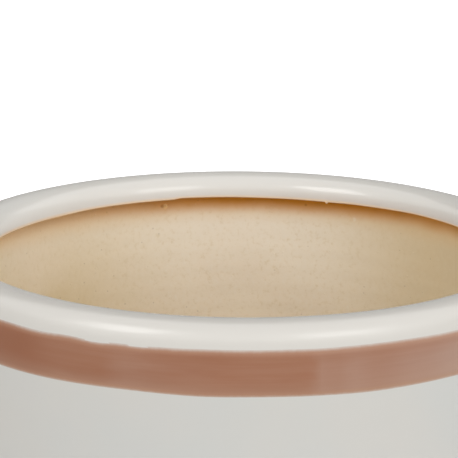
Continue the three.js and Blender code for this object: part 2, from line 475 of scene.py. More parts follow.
def clayMaterial():
    material, tree, shader = newMaterial("bareClay")
    place = objectPlace(tree)
    split = splitPlace(tree)
    across = split["X"]
    upDown = split["Z"]
    cloud = noiseAt(tree, place, *clay["cloud"])
    grain = noiseAt(tree, place, *clay["grain"])
    # painted shade towards the sides inside: on the left stronger lower down, on the right stronger higher
    # up and at the far right
    left = times(tree, fade(tree, across, *clay["leftShade"]), fade(tree, upDown, *clay["leftRise"]))
    right = times(tree, fade(tree, across, *clay["rightShade"]), fade(tree, upDown, *clay["rightRise"]))
    right = calc(tree, "ADD", fade(tree, across, *clay["farRightShade"]), right)
    sides = larger(tree, right, left)
    paleGrain = times(tree, fade(tree, grain, *clay["paleGrain"]), fade(tree, sides, *clay["paleInShade"]))

    # under the lip the flash is partly painted shadow of the overhanging lip, weakest at the far left
    height = calc(tree, "ADD", upDown, raggedAt(tree, place, *clay["ragged"]))
    lipHeight = calc(tree, "SUBTRACT", height, fade(tree, across, *clay["flashRise"]))
    sideways = times(tree, fade(tree, across, *clay["flashLeft"]), fade(tree, across, *clay["flashRight"]))
    atLip = times(tree, fade(tree, lipHeight, *clay["underLip"]), sideways)
    low = calc(tree, "LESS_THAN", upDown, clay["footTop"])
    outside = times(tree, low, fade(tree, fromAxis(tree), *clay["footReach"]))
    atFoot = times(tree, fade(tree, height, *clay["nearFoot"]), outside)
    # the flash's soft edge under the lip, partly painted warm shade
    blushAndShadeUnderLip = times(tree, fade(tree, height, *clay["blushAndShadeUnderLip"]), fade(tree, height, *clay["blushInside"]))
    dark = specksAt(tree, place, *clay["darkSpecks"])
    pale = specksAt(tree, place, *clay["paleSpecks"])
    darkShare, paleShare = clay["speckShares"]

    layers = [
        # painted shade further down inside
        (fade(tree, upDown, *clay["deepShadeFrom"]), "deepShade"),
        (sides, "shade"),
        (fade(tree, cloud, *clay["warmCloud"]), "warm"),
        (paleGrain, "pale"),
        (fade(tree, grain, *clay["darkGrain"]), "shade"),
        (blushAndShadeUnderLip, "blushAndShade"),
        (larger(tree, atLip, atFoot), "flashAndShade"),
        (times(tree, dark, darkShare), "darkSpeck"),
        (times(tree, pale, paleShare), "paleSpeck"),
    ]
    for mark, turn, markHeight, size, share in clay["marks"]:
        spot = spotAt(tree, innerRadius, turn, markHeight, size)
        layers.append((times(tree, spot, share), mark))
    tree.links.new(layered(tree, clay, "cream", layers), shader.inputs["Base Color"])
    shader.inputs["Roughness"].default_value = clay["roughness"]
    shader.inputs["Specular IOR Level"].default_value = clay["shine"]
    grainNormal = bumpInto(tree, shader, grain, *clay["grainBump"])
    bumpInto(tree, shader, calc(tree, "SUBTRACT", pale, dark), *clay["speckBump"], grainNormal)
    return material


def makeClay():
    drain = potForm["drainRadius"]
    rounded = clay["drainRound"]
    footInner = potForm["footRadius"] - potForm["footWidth"]
    footEdge = clay["footEdge"]
    recess = clay["recessFillet"]
    fillet = clay["lipFillet"]
    innerBelly = clayBelly - potForm["wall"]
    floorRound = clay["floorFillet"]
    filletHeight = potForm["floorTop"] + floorRound
    filletReach = innerBelly - floorRound
    filletSine = (bellyHeight - filletHeight) / filletReach
    filletAngle = -math.degrees(math.asin(filletSine))
    filletCentre = (bellyAxis + filletReach * math.sqrt(1 - filletSine**2), filletHeight)
    footLow = potForm["footBottom"] + footEdge
    recessEdge = (footInner - recess, potForm["recessTop"])
    floorEdge = (filletCentre[0], potForm["floorTop"])
    clayUnder = lipUnder + potForm["coat"]
    profile = [  # each stretch ends with its count of steps
        *arcPoints((drain + rounded, potForm["recessTop"] + rounded), rounded, 180, 270, 5),
        *linePoints((drain + rounded, potForm["recessTop"]), recessEdge, 36)[1:],
        *arcPoints((footInner - recess, potForm["recessTop"] - recess), recess, 90, 0, 8),
        *arcPoints((footInner + footEdge, footLow), footEdge, 180, 270, 6),
        *arcPoints((potForm["footRadius"] - footEdge, footLow), footEdge, 270, 360, 6),
        *arcPoints(bellyCentre, clayBelly, -footAngle, 0, 40),
        *sidePath(potForm["coat"], bellyHeight, lipCentre[1], 16)[1:],
        *lipPath(potForm["coat"], 0, 26, 8)[1:],
        *arcPoints((innerRadius - fillet, clayUnder - fillet), fillet, 90, 0, 10),
        *linePoints((innerRadius, clayUnder - fillet), (innerRadius, bellyHeight), 56)[1:],
        *arcPoints(bellyCentre, innerBelly, 0, filletAngle, 44),
        *arcPoints(filletCentre, floorRound, filletAngle, -90, 14)[1:],
        *linePoints(floorEdge, (drain + rounded, potForm["floorTop"]), 24)[1:],
        *arcPoints((drain + rounded, potForm["floorTop"] - rounded), rounded, 90, 180, 5),
    ]
    piece = startPiece("clayBody")
    drawProfile(profile, True)
    spinRound(potForm["roundSteps"])
    ringLow = potForm["floorTop"] + clay["ringMargins"][0]
    ringHigh = lipUnder - clay["ringMargins"][1]
    trimIn = drain + clay["trimMargins"][0]
    trimOut = recessEdge[0] - clay["trimMargins"][1]
    for vertex in piece.data.vertices:
        place = vertex.co
        turn = turnOf(place)
        radius = math.hypot(place.x, place.y)
        inside = ringLow < place.z < ringHigh and radius < innerRadius + potForm["coat"]
        level = abs(place.z - potForm["recessTop"]) < modelling["touch"]
        if inside:  # rings climb slowly, as a finger leaves them
            wave = math.sin(2 * math.pi * (place.z / clay["ringPitch"] + turn / 360))
            push = 1 + clay["ringDepth"] * (wave + wanderAt(turn, *clay["ringWander"])) / radius
            vertex.co = (place.x * push, place.y * push, place.z)
        if level and trimIn < radius < trimOut:
            place.z += clay["trimDepth"] * math.sin(2 * math.pi * radius / clay["trimPitch"])
    fuseLumps(piece, [(innerRadius, turn, height, sizes) for turn, height, sizes in clay["crumbs"]])
    smoothBy(piece, potForm["smooth"])
    piece.data.materials.append(clayMaterial())
    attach(piece, "pot")
    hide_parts("clay_body")
    print("clay body", len(piece.data.polygons), "faces")


# white glaze
glaze = {
    "white": srgb(212, 209, 203),
    "crestShade": srgb(209, 205, 198),  # painted shade, a little darker over the lip
    "bright": srgb(223, 222, 217),  # painted light on the lip's inner half, towards the back and left
    "cool": srgb(208, 208, 204),
    "thin": srgb(191, 175, 163),  # clay showing through where the glaze is thin; under the lip also painted warm light bounced from the clay inside
    "rim": srgb(230, 198, 160),  # the thin lowest edge under the lip
    "speck": srgb(110, 82, 60),
    "roughness": (-0.09, 0.09, 0.23, 0.155),  # from the front to the back, and its values there
    "index": 1.52,
    "cloud": 16,
    "patch": (130, 4),  # noises: size, detail
    "peel": (260, 2),
    "smear": 45,
    # fades: where they start and end, and the shares there
    "coolCloud": (0.35, 0.65),
    "crestShadeFrom": (0.147, 0.16),
    "brightBack": (-0.05, 0.07),
    "brightLeft": (-0.05, -0.088, 0.2, 0.9),
    "brightInside": (0.0895, 0.085),
    "patchy": (0.25, 0.7, 0.75, 1.0),
    "smeared": (0.3, 0.7, 0.85, 1.15),
    "specks": (110, 0.055, 0.05),  # cells to the metre, size, share of the cells
    "pinholes": (150, 0.05, 0.06),
    "lipSpeck": (0.0797, 41.5, 0.1606, 0.0005),  # radius, turn from the back, height, size
    "lipSpeckShare": 0.5,
    "speckShare": 0.75,
    "peelBump": (0.08, 0.0003),  # strength, depth
    "pinholeBump": (0.3, 0.0002),
    "bareFoot": 0.005,  # clay left bare above the foot
    "lipReturn": 0.0016,
    "backShare": 0.97,  # of the coat, so that its back stays clear of the clay
    "channelMargin": 0.0007,  # the band covers its channel by this much
    "channelDepth": 0.0005,
    "footSteps": 60,
    "thinReach": 0.004,  # how far the coat thins out above the foot
    "thinBy": 0.00045,
    "endReach": 0.0002,  # the round of its lowest edge
    "beadAt": 0.0008,
    "beadWidth": 0.0005,
    "beadBy": 0.00012,
    "footWander": 0.0009,
    "footRipples": (3, 7.7),  # ripples round the pot, seed
    "footSlide": (0.001, 0.016),  # heights above the edge between which it settles
    "footMarks": [(-150, 14, -0.0012), (25, 9, 0.0008), (96, 20, -0.0009)],
    # the coat's edge under the lip: turn from the back, towards the picture's left, and how high it stops
    "lipRun": [(-180, -0.0002), (-100, 0.0003), (-62, 0.0005), (-50, 0.00045), (-30, 0.0), (-22, -0.0002),
               (-8, -0.0001), (8, 0.0001), (15.2, 0.00017), (17.4, -0.00024), (38, -0.00026), (48, -0.0005),
               (60, -0.00042), (72, -0.00025), (120, 0.0001), (180, -0.0002)],
    "lipSlide": (-0.0002, 0.0022),  # heights from the lip's underside between which it settles
    "mouthDepth": 0.005,
    "thinMost": 0.8,
    "thinFoot": 0.006,
    "thinAndBounceLip": (-0.0012, 0.0048),
    "thinAcross": (-0.04, 0.08),  # thinner, with more painted bounce light, towards the right, and the shares there
    "thinShares": (0.42, 0.7),
    "rimReach": (0.0001, 0.0009),  # heights of the thin edge under the lip
    "swellSize": 28,
    "swellDepth": 0.00012,
    "swellLow": (0.02, 0.05),  # heights between which it comes and goes
    "swellHigh": (0.135, 0.146),
    "chip": (21.3, 0.00046),  # a bead on the edge under the lip: turn from the back, size
}


def glazeMaterial():
    material, tree, shader = newMaterial("whiteGlaze")
    place = objectPlace(tree)
    split = splitPlace(tree)
    towardsBack = split["Y"]
    # painted light: the lip's inner half lighter towards the back and the left
    atLeft = fade(tree, split["X"], *glaze["brightLeft"])
    paintedLight = times(tree, fade(tree, towardsBack, *glaze["brightBack"]), atLeft)
    paintedLight = times(tree, paintedLight, fade(tree, fromAxis(tree), *glaze["brightInside"]))
    patchy = fade(tree, noiseAt(tree, place, *glaze["patch"]), *glaze["patchy"])
    lipSpeck = times(tree, spotAt(tree, *glaze["lipSpeck"]), glaze["lipSpeckShare"])
    specks = larger(tree, specksAt(tree, place, *glaze["specks"]), lipSpeck)
    layers = [
        (fade(tree, noiseAt(tree, place, glaze["cloud"]), *glaze["coolCloud"]), "cool"),
        (fade(tree, split["Z"], *glaze["crestShadeFrom"]), "crestShade"),
        (paintedLight, "bright"),
        (times(tree, attributeOf(tree, "thinGlazeAndBounceLight"), patchy), "thin"),
        (attributeOf(tree, "rimGlaze"), "rim"),
        (times(tree, specks, glaze["speckShare"]), "speck"),
    ]
    tree.links.new(layered(tree, glaze, "white", layers), shader.inputs["Base Color"])
    smeared = fade(tree, noiseAt(tree, place, glaze["smear"]), *glaze["smeared"])
    gloss = times(tree, fade(tree, towardsBack, *glaze["roughness"]), smeared)
    tree.links.new(gloss, shader.inputs["Roughness"])
    shader.inputs["IOR"].default_value = glaze["index"]
    peel = bumpInto(tree, shader, noiseAt(tree, place, *glaze["peel"]), *glaze["peelBump"])
    pinholes = times(tree, specksAt(tree, place, *glaze["pinholes"]), -1)
    bumpInto(tree, shader, pinholes, *glaze["pinholeBump"], peel)
    return material


def glazeInset(distance):  # how far the coat's face lies under the full surface near its lower edge
    thinning = glaze["thinBy"] * math.exp(-((distance / glaze["thinReach"]) ** 2))
    end = math.exp(-distance / glaze["endReach"])
    bead = glaze["beadBy"] * math.exp(-(((distance - glaze["beadAt"]) / glaze["beadWidth"]) ** 2))
    return thinning + (potForm["coat"] - glaze["thinBy"]) * end - bead * (1 - end)


def makeGlaze():
    coatSine = (bellyHeight - potForm["recessTop"] - glaze["bareFoot"]) / potForm["bellyRadius"]
    coatAngle = math.degrees(math.asin(coatSine))
    face = []
    for step in range(glaze["footSteps"] + 1):  # points crowd together at the lower edge
        share = (step / glaze["footSteps"]) ** 2
        distance = share * math.radians(coatAngle) * potForm["bellyRadius"]
        angle = math.radians(-coatAngle * (1 - share))
        reach = potForm["bellyRadius"] - glazeInset(distance)
        face.append((bellyAxis + reach * math.cos(angle), bellyHeight + reach * math.sin(angle)))
    low = potForm["bandBottom"] + glaze["channelMargin"]
    high = potForm["bandTop"] - glaze["channelMargin"]
    back = potForm["coat"] * glaze["backShare"]
    edge = potForm["lipEdge"]
    lipStop = edgeCentre(0)[0] + glaze["lipReturn"]
    face += sidePath(0, bellyHeight, low, 24)[1:]  # each stretch ends with its count of steps
    face += sidePath(glaze["channelDepth"], low, high, 6)
    face += lipPath(0, angleAt(high), 34, 12)
    face += [(lipStop - edge, lipUnder), (lipStop, lipUnder + edge)]
    rear = arcPoints(bellyCentre, potForm["bellyRadius"] - back, -coatAngle, 0, 20)[1:]
    rear += sidePath(back, bellyHeight, lipCentre[1], 6)[1:]
    rear += lipPath(back, 0, 20, 6)[1:]
    rear += [(lipStop, lipUnder + back)]
    piece = startPiece("glazeCoat")
    drawProfile(face + rear[::-1], True)
    spinRound(potForm["roundSteps"])
    chipTurn, chipSize = glaze["chip"]
    fuseLumps(piece, [(edgeCentre(0)[0], chipTurn, lipUnder, (chipSize, chipSize, chipSize))])

    thin = piece.data.attributes.new("thinGlazeAndBounceLight", "FLOAT", "POINT")
    rim = piece.data.attributes.new("rimGlaze", "FLOAT", "POINT")
    edgeHeight = potForm["recessTop"] + glaze["bareFoot"]
    thinLeft, thinMore = glaze["thinShares"]

    def settled(ground, limits, height):  # 1 at the ground, easing to 0 above it
        return 1 - easeBetween(ground + limits[0], ground + limits[1], height)

    for vertex in piece.data.vertices:
        place = vertex.co
        turn = turnOf(place)
        radius = math.hypot(place.x, place.y)
        inMouth = radius < innerRadius and place.z > lipUnder - glaze["mouthDepth"]
        across = thinLeft + thinMore * easeBetween(*glaze["thinAcross"], place.x)
        thinAtFoot = settled(edgeHeight, (0, glaze["thinFoot"]), place.z)
        # under the lip: thin glaze and painted warm bounce light
        thinAndBounceAtLip = across * settled(lipUnder, glaze["thinAndBounceLip"], place.z) * inMouth
        thin.data[vertex.index].value = glaze["thinMost"] * max(thinAtFoot, thinAndBounceAtLip)
        rim.data[vertex.index].value = inMouth * settled(lipUnder, glaze["rimReach"], place.z)
        atFoot = settled(edgeHeight, glaze["footSlide"], place.z)
        atLip = inMouth * settled(lipUnder, glaze["lipSlide"], place.z)
        newRadius = radius
        if atFoot > 0:  # slide along the belly's round
            drift = glaze["footWander"] * wanderAt(turn, *glaze["footRipples"])
            drift += bumpsAt(turn, glaze["footMarks"])
            tilt = math.asin(max(-1.0, min(1.0, (place.z - bellyHeight) / potForm["bellyRadius"])))
            slide = atFoot * drift / potForm["bellyRadius"]
            reach = math.hypot(radius - bellyAxis, place.z - bellyHeight)
            newRadius = bellyAxis + reach * math.cos(tilt + slide)
            place.z = bellyHeight + reach * math.sin(tilt + slide)
        place.z += atLip * runAt((turn % 360) - 180, glaze["lipRun"])
        swell = noise.noise(place * glaze["swellSize"])
        upright = easeBetween(*glaze["swellLow"], place.z) * (1 - easeBetween(*glaze["swellHigh"], place.z))
        newRadius += glaze["swellDepth"] * swell * upright
        place.x *= newRadius / radius
        place.y *= newRadius / radius
    smoothBy(piece, potForm["smooth"])
    piece.data.materials.append(glazeMaterial())
    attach(piece, "pot")
    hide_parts("glaze_coat")
    print("glaze coat", len(piece.data.polygons), "faces")


# painted band
band = {
    "brown": srgb(158, 107, 79),
    "light": srgb(163, 114, 88),
    "dark": srgb(149, 93, 62),
    "soft": srgb(178, 143, 121),  # thinner paint along the lower edge
    "fringe": srgb(183, 142, 114),
    "thin": srgb(194, 170, 156),  # where the brush ran dry
    "bare": glaze["white"],
    "roughness": 0.24,
    "index": 1.52,
    "streakStretch": (16, 16, 620),  # fine brush lines
    "streaks": (1.0, 4, 0.6),
    "strokeStretch": (24, 24, 130),  # broad ones
    "strokes": (1.0, 3),
    "ragged": (700, 0.1),  # unevenness of the edges: size, depth
    # fades: where they start and end, and the shares there
    "lightStreaks": (0.3, 0.75),
    "darkStrokes": (0.55, 0.25, 0, 0.7),
    "thickPaintAndShade": (0, -1),
    "dryPaint": (0, 1),
    "fringed": (0.95, 0.4, 0, 0.5),
    "bareEdge": (0.6, 0.08),
    "streakBump": (0.1, 0.0002),  # strength, depth
    "proud": 0.00004,
    "sunk": 0.4,  # share of that by which its edges lie under the glaze
    "thickness": 0.00035,
    "feather": 0.003,  # over which the stroke's edge thins out
    "overrun": (0.0014, 0.0012),  # how far the thin edges run past the stroke, below and above
    "rows": 40,
    "rearRows": 8,
    "rearInset": 0.0012,
    "wander": 0.00016,
    "topRipples": (6, 1.3),  # ripples round the pot, seed
    "bottomRipples": (5, 4.9),
    "topReach": (0.45, 0.95),  # shares of the height that follow each edge
    "bottomReach": (0.05, 0.55),
    "topMarks": [(-41, 4, 0.00034), (-28.5, 2.6, 0.00033), (-23, 2.2, -0.0003), (-16, 2.5, -0.00028),
                 (22, 8, 0.00028), (36, 5, -0.0001)],
    "bottomMarks": [(-41, 5, -0.00016), (-22, 8, 0.00013), (21, 8, -0.00033), (37, 5, 0.0001)],
    # where the paint is thicker (below 0, partly painted shade towards the left) or thinner: turn and share,
    # eased from one to the next
    "paintRunAndShade": [(-180, 0.0), (-60, -0.5), (-40, -1.0), (-28, -0.2), (-18, 0.22), (-8, 0.12), (0, 0.0),
                 (10.4, 0.0), (12.2, 0.3), (15, 0.27), (18, 0.35), (22, 0.29), (30, 0.4), (37, 0.5),
                 (60, 0.4), (110, 0.0), (180, 0.0)],
    "paintWobble": 1.1,  # degrees
    "wobbleNoise": (330, 0.05, 2.2),  # up the band, round it, seed
    "fullTop": 0.35,  # the thin stretches are this much fuller along the top
    "fullFrom": (0.5, 0.9),
    "softLow": 0.5,  # share of the height over which the lower edge pales
    "softBy": 0.4,
}


def bandMaterial():
    material, tree, shader = newMaterial("bandPaint")
    streaks = noiseAt(tree, objectPlace(tree, band["streakStretch"]), *band["streaks"])
    strokes = noiseAt(tree, objectPlace(tree, band["strokeStretch"]), *band["strokes"])
    worn = attributeOf(tree, "paintThicknessAndShade")
    ragged = raggedAt(tree, objectPlace(tree), *band["ragged"])
    cover = calc(tree, "ADD", attributeOf(tree, "bandEdge"), ragged)
    layers = [
        (fade(tree, streaks, *band["lightStreaks"]), "light"),
        (fade(tree, strokes, *band["darkStrokes"]), "dark"),
        # thicker paint and painted shade towards the left
        (fade(tree, worn, *band["thickPaintAndShade"]), "dark"),
        (fade(tree, worn, *band["dryPaint"]), "thin"),
        (attributeOf(tree, "lowPaint"), "soft"),
        (fade(tree, cover, *band["fringed"]), "fringe"),
        (fade(tree, cover, *band["bareEdge"]), "bare"),
    ]
    tree.links.new(layered(tree, band, "brown", layers), shader.inputs["Base Color"])
    shader.inputs["Roughness"].default_value = band["roughness"]
    shader.inputs["IOR"].default_value = band["index"]
    bumpInto(tree, shader, streaks, *band["streakBump"])
    return material


def makeBand():
    low = potForm["bandBottom"] - band["overrun"][0]
    high = potForm["bandTop"] + band["overrun"][1]
    face = []
    for step in range(band["rows"] + 1):  # rows crowd together at both edges
        height = low + (high - low) * (0.5 - 0.5 * math.cos(math.pi * step / band["rows"]))
        rim = min(height - low, high - height)
        lift = band["proud"] * ((1 + band["sunk"]) * easeBetween(0, band["feather"], rim) - band["sunk"])
        face.append(sideAt(height, -lift))
    rear = sidePath(band["thickness"], low + band["rearInset"], high - band["rearInset"], band["rearRows"])
    piece = startPiece("paintedBand")
    drawProfile(face + rear[::-1], True)
    spinRound(potForm["roundSteps"])
    edge = piece.data.attributes.new("bandEdge", "FLOAT", "POINT")
    thin = piece.data.attributes.new("paintThicknessAndShade", "FLOAT", "POINT")
    soft = piece.data.attributes.new("lowPaint", "FLOAT", "POINT")
    upWobble, roundWobble, wobbleSeed = band["wobbleNoise"]
    for vertex in piece.data.vertices:
        place = vertex.co
        turn = turnOf(place)
        rim = min(place.z - low, high - place.z)
        share = (place.z - low) / (high - low)
        wobble = noise.noise(Vector((place.z * upWobble, turn * roundWobble, wobbleSeed)))
        paintAndShade = runAt(turn + band["paintWobble"] * wobble, band["paintRunAndShade"])
        if paintAndShade > 0:
            paintAndShade *= 1 - band["fullTop"] * easeBetween(*band["fullFrom"], share)
        edge.data[vertex.index].value = min(1.0, rim / band["feather"])
        thin.data[vertex.index].value = paintAndShade
        soft.data[vertex.index].value = band["softBy"] * (1 - easeBetween(0, band["softLow"], share))
        top = band["wander"] * wanderAt(turn, *band["topRipples"]) + bumpsAt(turn, band["topMarks"])
        bottom = band["wander"] * wanderAt(turn, *band["bottomRipples"]) + bumpsAt(turn, band["bottomMarks"])
        was = sideAt(place.z, 0)[0]
        topShare = easeBetween(*band["topReach"], share)
        bottomShare = 1 - easeBetween(*band["bottomReach"], share)
        place.z += top * topShare + bottom * bottomShare
        push = 1 + (sideAt(place.z, 0)[0] - was) / math.hypot(place.x, place.y)
        place.x *= push
        place.y *= push
    smoothBy(piece, potForm["smooth"])
    piece.data.materials.append(bandMaterial())
    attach(piece, "pot")
    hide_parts("painted_band")
    print("painted band", len(piece.data.polygons), "faces")


# rubber, for the plug and the pads
rubber = {
    "grey": srgb(58, 58, 60),
    "dusty": srgb(84, 82, 80),
    "roughness": 0.62,
    "wornBy": 0.18,  # rougher by this much where it is dusty
    "dust": (140, 4),  # noises: size, detail
    "grain": (2600, 2),
    "dusted": (0.42, 0.75, 0, 0.8),
    "worn": (0.3, 0.7),
    "grainBump": (0.2, 0.0001),  # strength, depth
}


def rubberMaterial(name):
    material, tree, shader = newMaterial(name)
    place = objectPlace(tree)
    dust = noiseAt(tree, place, *rubber["dust"])
    grain = noiseAt(tree, place, *rubber["grain"])
    colour = layered(tree, rubber, "grey", [(fade(tree, dust, *rubber["dusted"]), "dusty")])
    tree.links.new(colour, shader.inputs["Base Color"])
    dull = rubber["roughness"]
    worn = fade(tree, dust, *rubber["worn"], dull, dull + rubber["wornBy"])
    tree.links.new(worn, shader.inputs["Roughness"])
    bumpInto(tree, shader, grain, *rubber["grainBump"])
    return material


# drain plug
plug = {
    "clearance": 0.0003,
    "seatGap": 0.0003,
    "flangeWidth": 0.006,
    "flangeThickness": 0.0025,
    "flangeRounds": (0.0008, 0.0004),  # lower and upper edge
    "underDish": (0.010, 0.0106, 0.0004),  # inner and outer radius, depth
    "topDish": (0.0056, 0.0062, 0.0005),
    "topDrop": 0.001,
    "topRound": 0.0008,
    "stemRound": 0.0002,
    "ribCount": 3,
    "ribDepth": 0.0008,
    "ribRound": 0.0003,
    "ribShares": (0.3, 0.42, 0.52),  # of the pitch: where its round starts, its middle, its end
    "ribEase": 0.0002,
    "ribFoot": 0.0001,
    "roundSteps": 72,
    "tabLength": 0.015,
    "tabThickness": 0.0032,
    "tabBottom": 0.0024,
    "tabBevel": (0.0006, 3, 50),  # width, steps, least angle
    "gripCuts": 8,
    "gripCount": 3,
    "gripDepth": 0.0004,
    "smooth": 35,
}


def makeTab(flangeLow):  # the grip under the flange
    tabTop = flangeLow + plug["flangeThickness"] / 2
    tabHeight = tabTop - plug["tabBottom"]
    step = tabHeight / (plug["gripCuts"] + 1)

    def standsUp(edge):
        return abs(edge.verts[0].co.z - edge.verts[1].co.z) > tabHeight / 2

    def onRidge(vertex):  # every other ring stands out
        ring = round((vertex.co.z + tabHeight / 2) / step)
        return ring % 2 == 1 and ring <= 2 * plug["gripCount"]

    bpy.ops.object.select_all(action="DESELECT")
    bpy.ops.mesh.primitive_cube_add(size=1, location=(0, 0, plug["tabBottom"] + tabHeight / 2))
    tab = bpy.context.object
    bpy.ops.object.mode_set(mode="EDIT")
    bpy.ops.transform.resize(value=(plug["tabLength"], plug["tabThickness"], tabHeight))
    pickParts(tab, "EDGE", standsUp)
    bpy.ops.mesh.subdivide(number_cuts=plug["gripCuts"])
    pickParts(tab, "VERT", onRidge)
    bpy.ops.transform.resize(value=(1, 1 + 2 * plug["gripDepth"] / plug["tabThickness"], 1))
    bpy.ops.object.mode_set(mode="OBJECT")
    bpy.ops.object.transform_apply(location=True, rotation=True, scale=True)
    addBevel(tab, *plug["tabBevel"])
    applyAll(tab)
    return tab


def makePlug():
    ribRadius = potForm["drainRadius"] - plug["clearance"]
    stem = ribRadius - plug["ribDepth"]
    flange = potForm["drainRadius"] + plug["flangeWidth"]
    flangeTop = potForm["recessTop"] - plug["seatGap"]
    flangeLow = flangeTop - plug["flangeThickness"]
    top = potForm["floorTop"] - plug["topDrop"]
    pitch = (top - potForm["recessTop"]) / plug["ribCount"]
    lowRound, highRound = plug["flangeRounds"]
    stemRound = plug["stemRound"]
    topRound = plug["topRound"]
    dishIn, dishOut, dishDepth = plug["underDish"]
    profile = [(0, flangeLow + dishDepth), (dishIn, flangeLow + dishDepth), (dishOut, flangeLow)]
    profile += arcPoints((flange - lowRound, flangeLow + lowRound), lowRound, 270, 360, 5)
    profile += arcPoints((flange - highRound, flangeTop - highRound), highRound, 0, 90, 3)
    profile += arcPoints((stem + 2 * stemRound, flangeTop + stemRound), stemRound, 270, 180, 3)
    for rib in range(plug["ribCount"]):
        base = potForm["recessTop"] + rib * pitch + stemRound
        start, middle, end = [base + pitch * share for share in plug["ribShares"]]
        profile += [(stem, base), (ribRadius - plug["ribEase"], start)]
        profile += arcPoints((ribRadius - plug["ribRound"], middle), plug["ribRound"], -30, 90, 4)
        profile += [(stem + plug["ribFoot"], end)]
    profile += arcPoints((stem - topRound, top - topRound), topRound, 0, 90, 5)
    dishIn, dishOut, dishDepth = plug["topDish"]
    profile += [(dishOut, top), (dishIn, top - dishDepth), (0, top - dishDepth)]
    piece = startPiece("drainPlug")
    drawProfile(profile, False)
    spinRound(plug["roundSteps"])
    tab = makeTab(flangeLow)
    addBoolean(piece, "UNION", tab)
    applyAll(piece)
    bpy.data.objects.remove(tab)
    smoothBy(piece, plug["smooth"])
    piece.data.materials.append(rubberMaterial("plugRubber"))
    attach(piece, "plug")
    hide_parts("drain_plug")
    print("drain plug", len(piece.data.polygons), "faces")


# foot pads
pads = {
    "count": 4,
    "sides": 48,
    "radius": 0.0045,
    "thickness": 0.002,
    "edge": 0.0006,
    "edgeSteps": 4,
    "dimpleInset": 0.0012,
    "dimpleWall": 0.0003,
    "dimpleDepth": 0.0004,
    "smooth": 35,
}


def makePads():
    def facesDown(face):
        return face.normal.z < modelling["facingDown"]

    def isSole(face):
        return facesDown(face) and face.calc_center_median().z < modelling["touch"]

    ringMiddle = potForm["footRadius"] - potForm["footWidth"] / 2
    padRubber = rubberMaterial("padRubber")
    bpy.ops.object.select_all(action="DESELECT")
    bpy.ops.mesh.primitive_cylinder_add(
        vertices=pads["sides"], radius=pads["radius"], depth=pads["thickness"],
        location=(0, 0, pads["thickness"] / 2))
    first = bpy.context.object
    bpy.ops.object.transform_apply(location=True, rotation=True, scale=True)
    bpy.ops.object.mode_set(mode="EDIT")
    pickParts(first, "FACE", facesDown)
    bpy.ops.mesh.bevel(offset=pads["edge"], segments=pads["edgeSteps"], affect="EDGES")
    pickParts(first, "FACE", isSole)
    bpy.ops.mesh.inset(thickness=pads["dimpleInset"], depth=0)
    bpy.ops.mesh.inset(thickness=pads["dimpleWall"], depth=-pads["dimpleDepth"])
    closeShape()
    for index in range(pads["count"]):
        turn = 2 * math.pi * (index + 0.5) / pads["count"]
        pad = first.copy()
        pad.data = first.data.copy()
        pad.name = f"footPad{index + 1}"
        pad.data.name = pad.name
        bpy.context.scene.collection.objects.link(pad)
        pad.data.transform(Matrix.Translation((ringMiddle * math.cos(turn), ringMiddle * math.sin(turn), 0)))
        smoothBy(pad, pads["smooth"])
        pad.data.materials.append(padRubber)
        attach(pad, "pot")
        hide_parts(f"foot_pad_{index + 1}")
    bpy.data.objects.remove(first)
    print("foot pads", pads["count"])


# drain screen
screen = {
    "black": srgb(46, 47, 45),
    "scuffed": srgb(72, 72, 70),
    "roughness": 0.48,
    "roughBy": (-0.08, 0.1),  # lowest and highest from that
    "scuffStretch": (60, 600, 60),
    "scuffs": (1.0, 4),  # noises: size, detail
    "smear": 220,
    "grain": (3200, 2),
    "scuffShow": (0.5, 0.8, 0, 0.7),
    "smeared": (0.3, 0.7),
    "grainBump": (0.15, 0.0001),  # strength, depth
    "margin": 0.013,
    "sides": 96,
    "thickness": 0.0012,
    "gap": 0.0003,
    "rim": 0.0024,
    "pitch": 0.0045,
    "bar": 0.0015,
    "softEdge": (0.00018, 2, 30),  # width, steps, least angle
    "smooth": 35,
}


def screenMaterial():
    material, tree, shader = newMaterial("screenPlastic")
    place = objectPlace(tree)
    scuffs = noiseAt(tree, objectPlace(tree, screen["scuffStretch"]), *screen["scuffs"])
    colour = layered(tree, screen, "black", [(fade(tree, scuffs, *screen["scuffShow"]), "scuffed")])
    tree.links.new(colour, shader.inputs["Base Color"])
    least, most = [screen["roughness"] + by for by in screen["roughBy"]]
    smeared = fade(tree, noiseAt(tree, place, screen["smear"]), *screen["smeared"], least, most)
    tree.links.new(smeared, shader.inputs["Roughness"])
    bumpInto(tree, shader, noiseAt(tree, place, *screen["grain"]), *screen["grainBump"])
    return material


